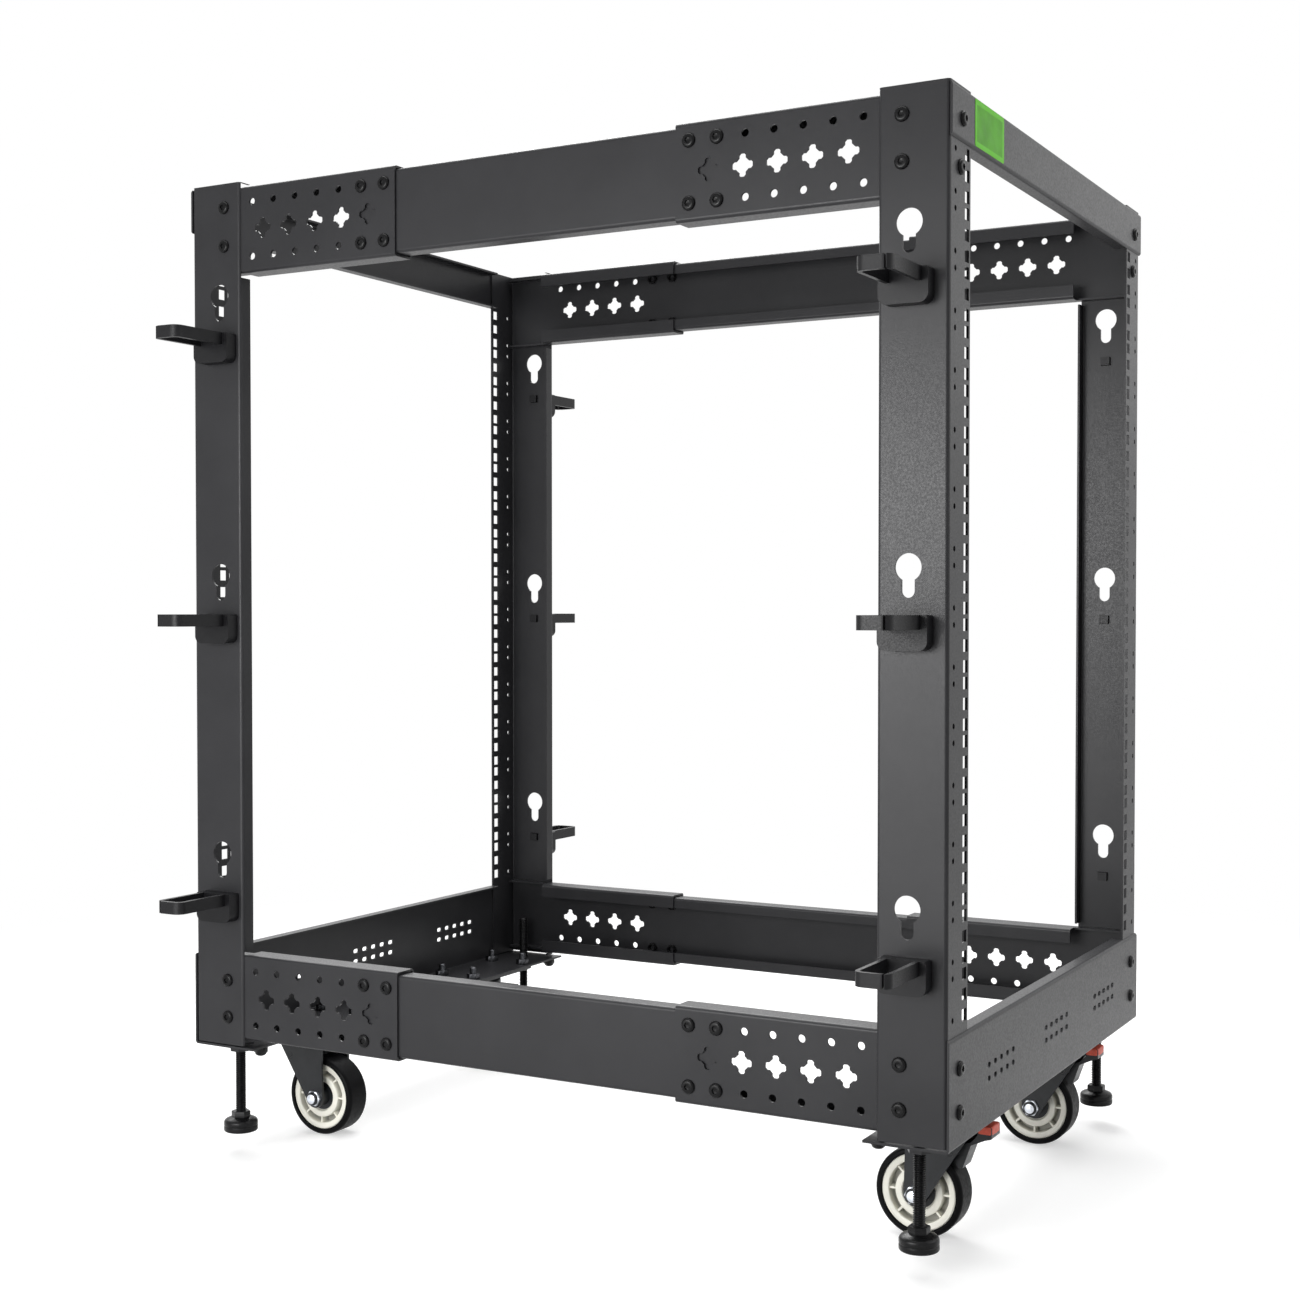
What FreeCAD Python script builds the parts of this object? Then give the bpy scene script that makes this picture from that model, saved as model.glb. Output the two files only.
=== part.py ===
import FreeCAD, Part
import math
import os

# Four post open frame rack on swivel casters, 15 rack units high.
# Millimetres. +Z is up, the front faces -Y, and the floor is at Z = 0, in the middle of the rack.

# Rack standard
rack_units = 15
unit_height = 44.45
square_offsets = (6.35, 22.225, 38.1)
column_spacing = 465.1
column_margin = 7.55
square_size = 9.5
dot_outset = 25.4
dot_radius = 2.4
dot_sides = 8

# Frame
flange_width = 45.0
post_depth = 743.0
sheet = 2.0
bend_radius = 3.0
bend_relief = 1.2
below_bay_height = 89.0
above_bay_height = 42.8

# Posts
web_width = 57.0
post_lip = 14.0
keyhole_inset = 32.0
keyhole_pitch = 258.5
keyhole_drop = 60.1
keyhole_radius = 10.7
keyhole_slot = 10.5
keyhole_slot_drop = 23.0
lip_notch_gap = 4.0

# Bolt heads on the faces of the crossbars
bolt_inset = 23.0
bolt_top_drop = 25.2
bolt_rise = 27.0
bolt_pitch = 33.5
bolt_head_radius = 6.0
bolt_head_height = 2.7
bolt_head_edge = 0.9
bolt_head_flat = 3.8

# Crossbars at the front and the rear
top_bar_gap = 0.6
top_bar_inset = 1.7
bar_lip = 11.0
bar_lip_gap = 1.5
bottom_bar_gap = 6.5
caster_flange = 70.0
slot_group_pitch = 150.0
slot_group_drop = 42.2
slot_columns = 5
slot_column_pitch = 15.0
slot_row_pitch = 11.0
slot_length = 9.0
slot_height = 4.5
slot_straight = 0.2

# Side rails: a perforated bracket at each end and a plain rail between them
bracket_height = 79.0
bracket_flange = 25.0
bracket_return = 14.0
bracket_start = 4.0
tongue_foot_gap = 6.0
tongue_post_gap = 1.0
bracket_top_inset = 4.4
bracket_bottom_inset = 6.0
hole_first = 70.0
hole_pitch = 25.0
hole_columns = 7
bolt_columns = 2
hole_row = 25.0
hole_radius = 3.25
bracket_end_margin = 12.0
cross_first = 82.5
cross_pitch = 30.0
cross_count = 5
cross_reach = 9.2
cross_arm = 3.1
cross_centre = 5.6
cross_chamfer = 1.5
rail_clearance = 0.75
rail_overlap_margin = 8.0

# Cable rings on the post webs
ring_drop = 41.5
ring_reach = 72.0
ring_width = 29.0
ring_wall = 3.6
ring_band_up = 5.6
ring_band_down = 5.4
ring_corner = 8.0
ring_base_width = 40.0
ring_base_depth = 13.0
ring_base_down = 21.5
ring_base_round = 7.0
ring_base_edge = 2.0
ring_overlap = 1.0
ring_slit = 1.6
ring_slit_inset = 9.6
clip_width = 9.0
clip_height = 8.0
clip_reach = 5.0
clip_clearance = 0.3

# Levelling feet
foot_inset_x = 25.0
foot_inset_y = 31.0
foot_lift = 19.5
foot_rod_radius = 5.0
foot_rod_top = 44.0
foot_rod_clearance = 0.3
foot_pad_radius = 15.8
foot_pad_edge = 10.0
foot_shoulder = 3.6
foot_neck_radius = 8.3
foot_pad_height = 18.6
foot_pad_round = 1.2
foot_shoulder_round = 3.2
foot_neck_round = 1.2
nut_across_flats = 17.0
nut_height = 8.0

# Casters
caster_inset_x = 117.0
caster_inset_y = 36.0
caster_trail = 26.0
plate_length = 114.0
plate_width = 62.0
plate_thickness = 2.5
plate_corner = 6.0
race_radius = 19.5
race_height = 4.0
race_gap = 0.5
race_round = 1.2
crown_race_radius = 20.5
crown_race_height = 8.0
crown_race_round = 2.6
crown_thickness = 3.0
crown_front = 15.5
crown_rear = 34.0
kingpin_radius = 6.0
kingpin_clearance = 0.3
kingpin_head_radius = 8.0
kingpin_head = 2.0
kingpin_round = 1.2
leg_thickness = 2.5
leg_shoulder = 3.5
axle_boss_radius = 9.5
axle_radius = 4.0
axle_clearance = 0.05
axle_nut_radius = 6.6
axle_nut_height = 6.0
axle_nut_round = 2.5
wheel_radius = 37.5
wheel_crown_gap = 10.5
tyre_width = 28.0
tyre_round = 4.0
tyre_inner_round = 0.8
tyre_side_gap = 5.0
rim_radius = 32.0
rim_wall = 5.5
hub_boss_radius = 9.5
hub_boss_round = 1.5
hub_web_round = 2.0
hub_end_gap = 0.6
hub_web = 17.0
hub_groove = 1.5

# Brake pedals
pedal_hinge_inset = 4.0
pedal_hinge_drop = 12.5
pedal_side_gap = 3.5
pedal_boss_radius = 4.5
pedal_pin_radius = 2.0
pedal_pin_clearance = 0.3
pedal_half_width = 10.0
pedal_reach = 35.0
pedal_pad_length = 12.0
pedal_pad_height = 8.0
pedal_plate_gap = 3.0
pedal_crown_gap = 2.0
pedal_neck_drop = 4.5
pedal_tip_drop = 3.5
pedal_round = 1.5
brake_shoe_reach = 14.5
brake_shoe_inset = 6.5
brake_shoe_thickness = 4.0

# Places worked out from the sizes above
crown_under = 2 * wheel_radius + wheel_crown_gap
crown_top = crown_under + crown_thickness
caster_height = crown_top + crown_race_height + race_gap + race_height + plate_thickness
pedal_hinge = crown_top - pedal_hinge_drop
post_bottom = caster_height + sheet + bend_relief
units_bottom = post_bottom + below_bay_height
units_top = units_bottom + rack_units * unit_height
post_top = units_top + above_bay_height
frame_width = column_spacing - 2 * column_margin + 2 * flange_width
half_width = frame_width / 2
half_depth = post_depth / 2
column_inset = flange_width - column_margin
bracket_end = hole_first + (hole_columns - 1) * hole_pitch + bracket_end_margin
rail_start = hole_first + (hole_columns - bolt_columns) * hole_pitch - rail_overlap_margin
top_rail_centre = post_top - bracket_top_inset - bracket_height / 2
bottom_rail_centre = post_bottom + bracket_bottom_inset + bracket_height / 2
keyhole_heights = [units_top - keyhole_drop - row * keyhole_pitch for row in range(3)]
fork_gap = tyre_width / 2 + tyre_side_gap

os.makedirs("parts", exist_ok=True)


def box(low, high):
    """A block between two corners."""
    size = [b - a for a, b in zip(low, high)]
    return Part.makeBox(size[0], size[1], size[2], FreeCAD.Vector(*low))


def cylinder(radius, length, base, axis):
    """A round bar from its base point along an axis."""
    return Part.makeCylinder(radius, length, FreeCAD.Vector(*base), FreeCAD.Vector(*axis))


def rounded_wire(points, radii):
    """A closed outline through the points, each corner rounded by its own radius."""
    corners = [FreeCAD.Vector(*p) for p in points]
    starts = []
    ends = []
    arcs = []
    for index, corner in enumerate(corners):
        back = (corners[index - 1] - corner).normalize()
        ahead = (corners[(index + 1) % len(corners)] - corner).normalize()
        radius = radii[index]
        if radius <= 0:
            starts.append(corner)
            ends.append(corner)
            arcs.append(None)
            continue
        half_angle = back.getAngle(ahead) / 2
        reach = radius / math.tan(half_angle)
        bisector = (back + ahead).normalize()
        middle = corner + bisector * (radius / math.sin(half_angle) - radius)
        starts.append(corner + back * reach)
        ends.append(corner + ahead * reach)
        arcs.append(middle)
    edges = []
    for index, start in enumerate(starts):
        if arcs[index] is not None:
            edges.append(Part.Arc(start, arcs[index], ends[index]).toShape())
        following = starts[(index + 1) % len(starts)]
        if ends[index].distanceToPoint(following) > 1e-6:
            edges.append(Part.LineSegment(ends[index], following).toShape())
    return Part.Wire(edges)


def plate(points, radii, direction):
    """The rounded outline filled and pushed along a direction."""
    return Part.Face(rounded_wire(points, radii)).extrude(FreeCAD.Vector(*direction))


def bent_sheet(outer, inner, lift, direction):
    """A folded sheet: outer and inner lines of the fold, with bends at the inner corners."""
    radii = [0.0] * (len(outer) + len(inner))
    for corner in range(1, len(outer) - 1):
        radii[corner] = bend_radius
        radii[len(radii) - 1 - corner] = bend_radius - sheet
    return plate([lift(p) for p in outer + inner[::-1]], radii, direction)


def regular_prism(sides, across_radius, base, direction, turn=0.0):
    """A prism with a regular outline in the plane across its direction."""
    axis = FreeCAD.Vector(*direction).normalize()
    side = FreeCAD.Vector(1, 0, 0) if abs(axis.x) < 0.5 else FreeCAD.Vector(0, 1, 0)
    other = axis.cross(side)
    centre = FreeCAD.Vector(*base)
    points = []
    for index in range(sides):
        angle = turn + 2 * math.pi * (index + 0.5) / sides
        offset = side * (across_radius * math.cos(angle)) + other * (across_radius * math.sin(angle))
        points.append(centre + offset)
    outline = Part.makePolygon(points + points[:1])
    return Part.Face(outline).extrude(FreeCAD.Vector(*direction))


def turned(points, radii, centre, axis, outward):
    """A turned solid: the points are (radius, along the axis) pairs about a centre."""
    middle = FreeCAD.Vector(*centre)
    along = FreeCAD.Vector(*axis)
    out = FreeCAD.Vector(*outward)
    placed = [middle + out * r + along * a for r, a in points]
    face = Part.Face(rounded_wire([tuple(p) for p in placed], radii))
    return face.revolve(middle, along, 360)


def at_corner(shape, side, end):
    """The front left piece mirrored to its corner: side is left or right, end is front or rear."""
    result = shape
    if side == "right":
        result = result.mirror(FreeCAD.Vector(0, 0, 0), FreeCAD.Vector(1, 0, 0))
    if end == "rear":
        result = result.mirror(FreeCAD.Vector(0, 0, 0), FreeCAD.Vector(0, 1, 0))
    return result


def save(name, shape):
    """Writes one sub-part."""
    shape.exportStep("parts/" + name + ".step")


def from_corner(inward, back, height):
    """A point given by its distance in from the left web and back from the front flange."""
    return (inward - half_width, back - half_depth, height)


def keyhole(height):
    """The cutter of a keyhole in the web: a round head over a narrow slot."""
    reach = 2 * sheet
    centre = from_corner(-sheet / 2, keyhole_inset, height)
    head = cylinder(keyhole_radius, reach, centre, (1, 0, 0))
    slot_end = keyhole_slot_drop - keyhole_slot / 2
    low = from_corner(-sheet / 2, keyhole_inset - keyhole_slot / 2, height - slot_end)
    high = from_corner(-sheet / 2 + reach, keyhole_inset + keyhole_slot / 2, height)
    foot_centre = from_corner(-sheet / 2, keyhole_inset, height - slot_end)
    foot = cylinder(keyhole_slot / 2, reach, foot_centre, (1, 0, 0))
    return head.fuse([box(low, high), foot])


def clip_window(height, clearance):
    """The block that a ring's clip fills in the web, or its hole when given a clearance."""
    middle = height - ring_drop
    half_clip = clip_width / 2 + clearance
    half_high = clip_height / 2 + clearance
    low = from_corner(0, keyhole_inset - half_clip, middle - half_high)
    high = from_corner(clip_reach, keyhole_inset + half_clip, middle + half_high)
    return box(low, high)


def rail_notch(centre):
    """The stretch of the post's lip that is cut away to let a side rail through."""
    reach = bracket_height / 2 + lip_notch_gap
    low = from_corner(sheet, web_width - sheet - bend_radius, centre - reach)
    high = from_corner(post_lip + sheet, web_width + sheet, centre + reach)
    return box(low, high)


def make_post():
    """Front left post: a folded channel with square rack holes, dots and keyholes."""
    outer = [(flange_width, 0), (0, 0), (0, web_width), (post_lip, web_width)]
    inner_back = web_width - sheet
    inner = [(flange_width, sheet), (sheet, sheet), (sheet, inner_back), (post_lip, inner_back)]
    length = post_top - post_bottom
    post = bent_sheet(outer, inner, lambda p: from_corner(p[0], p[1], post_bottom), (0, 0, length))
    cutters = []
    half_square = square_size / 2
    for unit in range(rack_units):
        base = units_bottom + unit * unit_height
        for offset in square_offsets:
            low = from_corner(column_inset - half_square, -sheet, base + offset - half_square)
            high = from_corner(column_inset + half_square, 2 * sheet, base + offset + half_square)
            cutters.append(box(low, high))
        for offset in (square_offsets[0], square_offsets[2]):
            start = from_corner(column_inset - dot_outset, -sheet, base + offset)
            cutters.append(regular_prism(dot_sides, dot_radius, start, (0, 3 * sheet, 0)))
    for height in keyhole_heights:
        cutters.append(keyhole(height))
        cutters.append(clip_window(height, clip_clearance))
    top_notch = rail_notch(top_rail_centre)
    bottom_notch = rail_notch(bottom_rail_centre)
    return post.cut(cutters + [top_notch, bottom_notch])


def bar_profile(top, bottom, bottom_reach):
    """Folded section of a front crossbar, in the plane across the rack, from lip to lip."""
    outer = [(bar_lip, top), (-sheet, top), (-sheet, bottom), (bottom_reach, bottom)]
    inner_top = top - sheet
    inner_bottom = bottom + sheet
    inner = [(bar_lip, inner_top), (0, inner_top), (0, inner_bottom), (bottom_reach, inner_bottom)]
    return bent_sheet(outer, inner, lambda p: from_corner(0, p[0], p[1]), (frame_width, 0, 0))


def lip_trims(height):
    """Cutters that stop a lip short of both posts, at one height of the crossbar."""
    reach = flange_width + bar_lip_gap
    low = height - bend_radius - sheet
    high = height + bend_radius + sheet
    left = box(from_corner(-sheet, 0, low), from_corner(reach, bar_lip + sheet, high))
    right_end = from_corner(frame_width + sheet, bar_lip + sheet, high)
    right = box(from_corner(frame_width - reach, 0, low), right_end)
    return [left, right]


def make_top_crossbar():
    """Front top crossbar: a shallow channel outside the post flanges, lips between the posts."""
    top = post_top - top_bar_inset
    bottom = units_top + top_bar_gap
    bar = bar_profile(top, bottom, bar_lip)
    return bar.cut(lip_trims(top) + lip_trims(bottom))


def vent_slot(inward, height):
    """The cutter of a short slot with round ends in the face of a front crossbar."""
    half_long = slot_length / 2
    half_high = slot_height / 2
    corners = ((-1, -1), (1, -1), (1, 1), (-1, 1))
    points = [from_corner(inward + x * half_long, -2 * sheet, height + z * half_high) for x, z in corners]
    return plate(points, [half_high - slot_straight / 2] * 4, (0, 3 * sheet, 0))


def make_bottom_crossbar():
    """Front bottom crossbar: a face with a wide flange that carries posts, feet and casters."""
    top = units_bottom - bottom_bar_gap
    bottom = caster_height
    bar = bar_profile(top, bottom, caster_flange - sheet)
    cutters = lip_trims(top)
    for group in (-1, 0, 1):
        for column in range(slot_columns):
            for row in (-0.5, 0.5):
                along = group * slot_group_pitch + (column - (slot_columns - 1) / 2) * slot_column_pitch
                cutters.append(vent_slot(half_width + along, top - slot_group_drop + row * slot_row_pitch))
    nuts = []
    nut_radius = nut_across_flats / 2 / math.cos(math.pi / 6)
    for inward in (foot_inset_x, frame_width - foot_inset_x):
        start = from_corner(inward, foot_inset_y, caster_height - nut_height)
        nuts.append(regular_prism(6, nut_radius, start, (0, 0, nut_height)))
        through = nut_height + 2 * sheet
        cutters.append(cylinder(foot_rod_radius + foot_rod_clearance, through, start, (0, 0, 1)))
    return bar.fuse(nuts).cut(cutters).removeSplitter()


def make_bolt_heads():
    """Domed heads of the bolts that hold the front crossbars to the posts."""
    low = caster_height + bolt_rise
    profile = [(0, 0), (bolt_head_radius, 0), (bolt_head_radius, bolt_head_edge),
               (bolt_head_flat, bolt_head_height), (0, bolt_head_height)]
    heads = []
    for inward in (bolt_inset, frame_width - bolt_inset):
        for height in (low, low + bolt_pitch, post_top - bolt_top_drop):
            centre = from_corner(inward, -sheet, height)
            heads.append(turned(profile, [0] * len(profile), centre, (0, -1, 0), (1, 0, 0)))
    return Part.makeCompound(heads)


def cross_cutter(back, centre):
    """The cutter of a plus shaped hole with chamfered arms and a full middle."""
    arm = [(cross_arm, cross_reach - cross_chamfer), (cross_arm - cross_chamfer, cross_reach)]
    outline = []
    for turn in range(4):
        cos_turn = math.cos(turn * math.pi / 2)
        sin_turn = math.sin(turn * math.pi / 2)
        quarter = [(cross_centre, cross_arm), (cross_arm, cross_centre)] + arm
        mirrored = [(-x, z) for x, z in arm[::-1]]
        for x, z in quarter[1:] + mirrored + [(-cross_arm, cross_centre)]:
            outline.append((x * cos_turn - z * sin_turn, x * sin_turn + z * cos_turn))
    points = [FreeCAD.Vector(*from_corner(0, back + y, centre + z)) for y, z in outline]
    face = Part.Face(Part.makePolygon(points + points[:1]))
    return face.extrude(FreeCAD.Vector(3 * sheet, 0, 0))


def side_channel(face, height, flange, lip, start, end, centre):
    """A channel beside the posts, its face set in from the web's outer side, with returned flanges."""
    top = centre + height / 2
    bottom = centre - height / 2
    edge = face + flange
    inner_face = face + sheet
    inner_edge = edge - sheet
    outer = [(edge, top - lip), (edge, top), (face, top),
             (face, bottom), (edge, bottom), (edge, bottom + lip)]
    inner = [(inner_edge, top - lip), (inner_edge, top - sheet), (inner_face, top - sheet),
             (inner_face, bottom + sheet), (inner_edge, bottom + sheet), (inner_edge, bottom + lip)]
    return bent_sheet(outer, inner, lambda p: from_corner(p[0], start, p[1]), (0, end - start, 0))


def make_bracket(centre):
    """Front left end bracket of a side rail: holes in its face and a narrow tongue inside the post."""
    size = (bracket_height, bracket_flange, bracket_return)
    bracket = side_channel(sheet, *size, bracket_start, bracket_end, centre)
    tongue_width = foot_inset_x - foot_rod_radius - tongue_foot_gap
    tongue_end = web_width + tongue_post_gap
    reach = bracket_height / 2 + sheet
    beyond_flange = bracket_flange + 2 * sheet
    high = from_corner(beyond_flange, tongue_end, centre + reach)
    cutters = [box(from_corner(tongue_width, 0, centre - reach), high)]
    for column in range(hole_columns - bolt_columns):
        for row in (-1, 1):
            start = from_corner(0, hole_first + column * hole_pitch, centre + row * hole_row)
            cutters.append(cylinder(hole_radius, 3 * sheet, start, (1, 0, 0)))
    for index in range(cross_count):
        cutters.append(cross_cutter(cross_first + index * cross_pitch, centre))
    return bracket.cut(cutters)


def make_centre_rail(centre):
    """Left centre rail: a plain channel nested inside the two brackets."""
    height = bracket_height - 2 * sheet - 2 * rail_clearance
    flange = bracket_flange - 2 * sheet - rail_clearance
    lip = bracket_return - sheet - rail_clearance
    return side_channel(2 * sheet, height, flange, lip, rail_start, post_depth - rail_start, centre)


def make_ring(height):
    """Front left cable ring: a clipped base with an open loop that reaches out from the web."""
    centre = height - ring_drop
    top = centre + ring_band_up
    half_base = ring_base_width / 2
    base_low = centre + ring_band_up - ring_base_down - ring_band_down
    base_corners = ((-half_base, top), (half_base, top), (half_base, base_low), (-half_base, base_low))
    base_points = [from_corner(-ring_base_depth, keyhole_inset + y, z) for y, z in base_corners]
    base_radii = [ring_base_edge, ring_base_edge, ring_base_round, ring_base_round]
    base = plate(base_points, base_radii, (ring_base_depth, 0, 0))
    loop_low = centre - ring_band_down
    band = ring_band_up + ring_band_down
    half_ring = ring_width / 2
    outer_corners = ((-ring_overlap, -half_ring), (-ring_reach, -half_ring),
                     (-ring_reach, half_ring), (-ring_overlap, half_ring))
    outer_points = [from_corner(out, keyhole_inset + y, loop_low) for out, y in outer_corners]
    loop = plate(outer_points, [0, ring_corner, ring_corner, 0], (0, 0, band))
    half_inner = half_ring - ring_wall
    inner_end = ring_reach - ring_wall
    inner_corner = ring_corner - ring_wall
    inner_corners = ((-ring_base_depth, -half_inner), (-inner_end, -half_inner),
                     (-inner_end, half_inner), (-ring_base_depth, half_inner))
    inner_points = [from_corner(out, keyhole_inset + y, loop_low - band) for out, y in inner_corners]
    hollow = plate(inner_points, [0, inner_corner, inner_corner, 0], (0, 0, 3 * band))
    slit_centre = keyhole_inset - ring_slit_inset
    slit_low = from_corner(-ring_reach - ring_wall, slit_centre - ring_slit / 2, loop_low - band)
    slit_high = from_corner(-inner_end + ring_wall, slit_centre + ring_slit / 2, top + band)
    loop = loop.cut([hollow, box(slit_low, slit_high)])
    return base.fuse([loop, clip_window(height, 0.0)]).removeSplitter()


def make_foot():
    """Front left levelling foot: a threaded rod standing in a bell shaped pad."""
    centre = from_corner(foot_inset_x, foot_inset_y, foot_lift)
    rod_top = post_bottom + foot_rod_top - foot_lift
    profile = [(0, 0), (foot_pad_radius, 0), (foot_pad_radius, foot_pad_edge),
               (foot_neck_radius, foot_pad_edge + foot_shoulder), (foot_neck_radius, foot_pad_height),
               (foot_rod_radius, foot_pad_height), (foot_rod_radius, rod_top), (0, rod_top)]
    radii = [0, foot_pad_round, foot_shoulder_round, foot_neck_round, foot_neck_round, 0, 0, 0]
    return turned(profile, radii, centre, (0, 0, 1), (1, 0, 0))


def caster_point(across, back, height):
    """A point given from a front left caster's swivel axis, back being towards its wheel."""
    return from_corner(caster_inset_x + across, caster_inset_y + back, height)


def make_caster_plate():
    """Top plate of a caster, with its bearing race and the kingpin that holds the fork."""
    half_length = plate_length / 2
    half_plate = plate_width / 2
    under = caster_height - plate_thickness
    corners = ((-half_length, -half_plate), (half_length, -half_plate), (half_length, half_plate),
               (-half_length, half_plate))
    points = [caster_point(x, y, under) for x, y in corners]
    top = plate(points, [plate_corner] * 4, (0, 0, plate_thickness))
    head_top = crown_under - race_gap
    profile = [(0, head_top - kingpin_head), (kingpin_head_radius, head_top - kingpin_head),
               (kingpin_head_radius, head_top), (kingpin_radius, head_top),
               (kingpin_radius, under - race_height), (race_radius, under - race_height),
               (race_radius, under), (0, under)]
    radii = [0, kingpin_round, 0, 0, 0, race_round, 0, 0]
    pin = turned(profile, radii, caster_point(0, 0, 0), (0, 0, 1), (1, 0, 0))
    return top.fuse(pin).removeSplitter()


def tangent_touch(point, centre, radius, turn):
    """Where the line from a point touches a circle, on the side given by turn, in one plane."""
    dy = point[0] - centre[0]
    dz = point[1] - centre[1]
    distance = math.hypot(dy, dz)
    angle = math.atan2(dz, dy) + turn * math.acos(radius / distance)
    return (centre[0] + radius * math.cos(angle), centre[1] + radius * math.sin(angle))


def make_leg(inner_side):
    """One cheek of the fork: a tapered plate that ends round the axle."""
    axle = (caster_trail, wheel_radius)
    shoulder = (-crown_front, crown_top - leg_shoulder)
    rear = (crown_rear, crown_top)
    touch_rear = tangent_touch(rear, axle, axle_boss_radius, -1)
    touch_front = tangent_touch(shoulder, axle, axle_boss_radius, 1)
    bottom = (axle[0], axle[1] - axle_boss_radius)
    corners = [touch_front, shoulder, (-crown_front, crown_top), rear, touch_rear]
    points = [FreeCAD.Vector(*caster_point(inner_side, y, z)) for y, z in corners]
    lowest = FreeCAD.Vector(*caster_point(inner_side, bottom[0], bottom[1]))
    edges = [Part.LineSegment(a, b).toShape() for a, b in zip(points, points[1:])]
    edges.append(Part.Arc(points[-1], lowest, points[0]).toShape())
    return Part.Face(Part.Wire(edges)).extrude(FreeCAD.Vector(leg_thickness, 0, 0))


def make_fork():
    """Fork of a caster: a crown under the race, two cheeks and the axle between them."""
    outside = fork_gap + leg_thickness
    crown_low = caster_point(-outside, -crown_front, crown_under)
    crown = box(crown_low, caster_point(outside, crown_rear, crown_top))
    race_top = crown_top + crown_race_height
    race = [(0, crown_top), (crown_race_radius, crown_top), (crown_race_radius, race_top), (0, race_top)]
    seat = turned(race, [0, 0, crown_race_round, 0], caster_point(0, 0, 0), (0, 0, 1), (1, 0, 0))
    legs = [make_leg(fork_gap), make_leg(-outside)]
    tip = axle_nut_height + outside
    profile = [(0, -tip), (axle_nut_radius, -tip), (axle_nut_radius, -outside), (axle_radius, -outside),
               (axle_radius, outside), (axle_nut_radius, outside), (axle_nut_radius, tip), (0, tip)]
    axle_centre = caster_point(0, caster_trail, wheel_radius)
    radii = [0, axle_nut_round, 0, 0, 0, 0, axle_nut_round, 0]
    axle = turned(profile, radii, axle_centre, (1, 0, 0), (0, 0, 1))
    body = crown.fuse([seat, axle] + legs)
    bore_start = caster_point(0, 0, crown_top - 2 * crown_thickness)
    bore_length = 3 * crown_thickness + crown_race_height
    bore = cylinder(kingpin_radius + kingpin_clearance, bore_length, bore_start, (0, 0, 1))
    hinge_start = caster_point(-outside - leg_thickness, -pedal_hinge_inset, pedal_hinge)
    hinge_length = 2 * (outside + leg_thickness)
    hinge = cylinder(pedal_pin_radius + pedal_pin_clearance, hinge_length, hinge_start, (1, 0, 0))
    return body.cut([bore, hinge]).removeSplitter()


def make_hub():
    """Moulded wheel centre: a thin dished web between the rim and a long boss, bored for the axle."""
    half_rim = tyre_width / 2 - hub_groove
    half_boss = fork_gap - hub_end_gap
    half_web = hub_web / 2
    bore = axle_radius + axle_clearance
    inside = rim_radius - rim_wall
    half = [(bore, half_boss), (hub_boss_radius, half_boss), (hub_boss_radius, half_web),
            (inside, half_web), (inside, half_rim), (rim_radius, half_rim)]
    profile = half + [(r, -a) for r, a in half[::-1]]
    radii = [0, hub_boss_round, hub_web_round, hub_web_round, 0, 0]
    centre = caster_point(0, caster_trail, wheel_radius)
    return turned(profile, radii + radii[::-1], centre, (1, 0, 0), (0, 0, 1))


def make_tyre():
    """Tyre of a wheel, with round shoulders."""
    half = tyre_width / 2
    profile = [(rim_radius, half), (wheel_radius, half), (wheel_radius, -half), (rim_radius, -half)]
    centre = caster_point(0, caster_trail, wheel_radius)
    radii = [tyre_inner_round, tyre_round, tyre_round, tyre_inner_round]
    return turned(profile, radii, centre, (1, 0, 0), (0, 0, 1))


def make_pedal():
    """Brake pedal: a lever hinged in the fork, its pad up in front of the crown, its shoe by the tyre."""
    hinge_y = -pedal_hinge_inset
    neck_y = -crown_front - pedal_crown_gap
    pad_inner = pedal_pad_length - pedal_reach
    pad_top = caster_height - plate_thickness - pedal_plate_gap
    pad_under = pad_top - pedal_pad_height
    shoe_z = pedal_hinge - brake_shoe_reach
    shoe_y = hinge_y - brake_shoe_inset
    shoe_back = shoe_y + brake_shoe_thickness
    corners = [(hinge_y, pedal_hinge + pedal_boss_radius, 0),
               (neck_y, crown_under - pedal_crown_gap, pedal_round),
               (pad_inner, pad_under, pedal_round),
               (pad_inner, pad_top, pedal_round),
               (-pedal_reach, pad_top, pedal_round),
               (-pedal_reach, pad_under - pedal_tip_drop / 2, pedal_round),
               (pad_inner - pedal_pad_length / 2, pad_under - pedal_tip_drop, pedal_round),
               (neck_y, crown_under - pedal_neck_drop, pedal_round),
               (shoe_y, shoe_z, pedal_round / 2),
               (shoe_back, shoe_z, pedal_round / 2),
               (hinge_y + pedal_boss_radius, pedal_hinge, 0)]
    points = [caster_point(-pedal_half_width, y, z) for y, z, radius in corners]
    blade = plate(points, [radius for y, z, radius in corners], (2 * pedal_half_width, 0, 0))
    half_boss = fork_gap - pedal_side_gap
    boss_start = caster_point(-half_boss, hinge_y, pedal_hinge)
    boss = cylinder(pedal_boss_radius, 2 * half_boss, boss_start, (1, 0, 0))
    half_pin = fork_gap + leg_thickness
    pin_start = caster_point(-half_pin, hinge_y, pedal_hinge)
    pin = cylinder(pedal_pin_radius, 2 * half_pin, pin_start, (1, 0, 0))
    return blade.fuse([boss, pin]).removeSplitter()


rings = Part.makeCompound([make_ring(height) for height in keyhole_heights])
corner_pieces = {
    "post": make_post(),
    "cable_rings": rings,
    "levelling_foot": make_foot(),
    "caster_plate": make_caster_plate(),
    "caster_fork": make_fork(),
    "caster_hub": make_hub(),
    "caster_tyre": make_tyre(),
    "caster_pedal": make_pedal(),
    "top_bracket": make_bracket(top_rail_centre),
    "bottom_bracket": make_bracket(bottom_rail_centre),
}
for piece, shape in corner_pieces.items():
    for end in ("front", "rear"):
        for side in ("left", "right"):
            save(piece + "_" + end + "_" + side, at_corner(shape, side, end))

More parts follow.
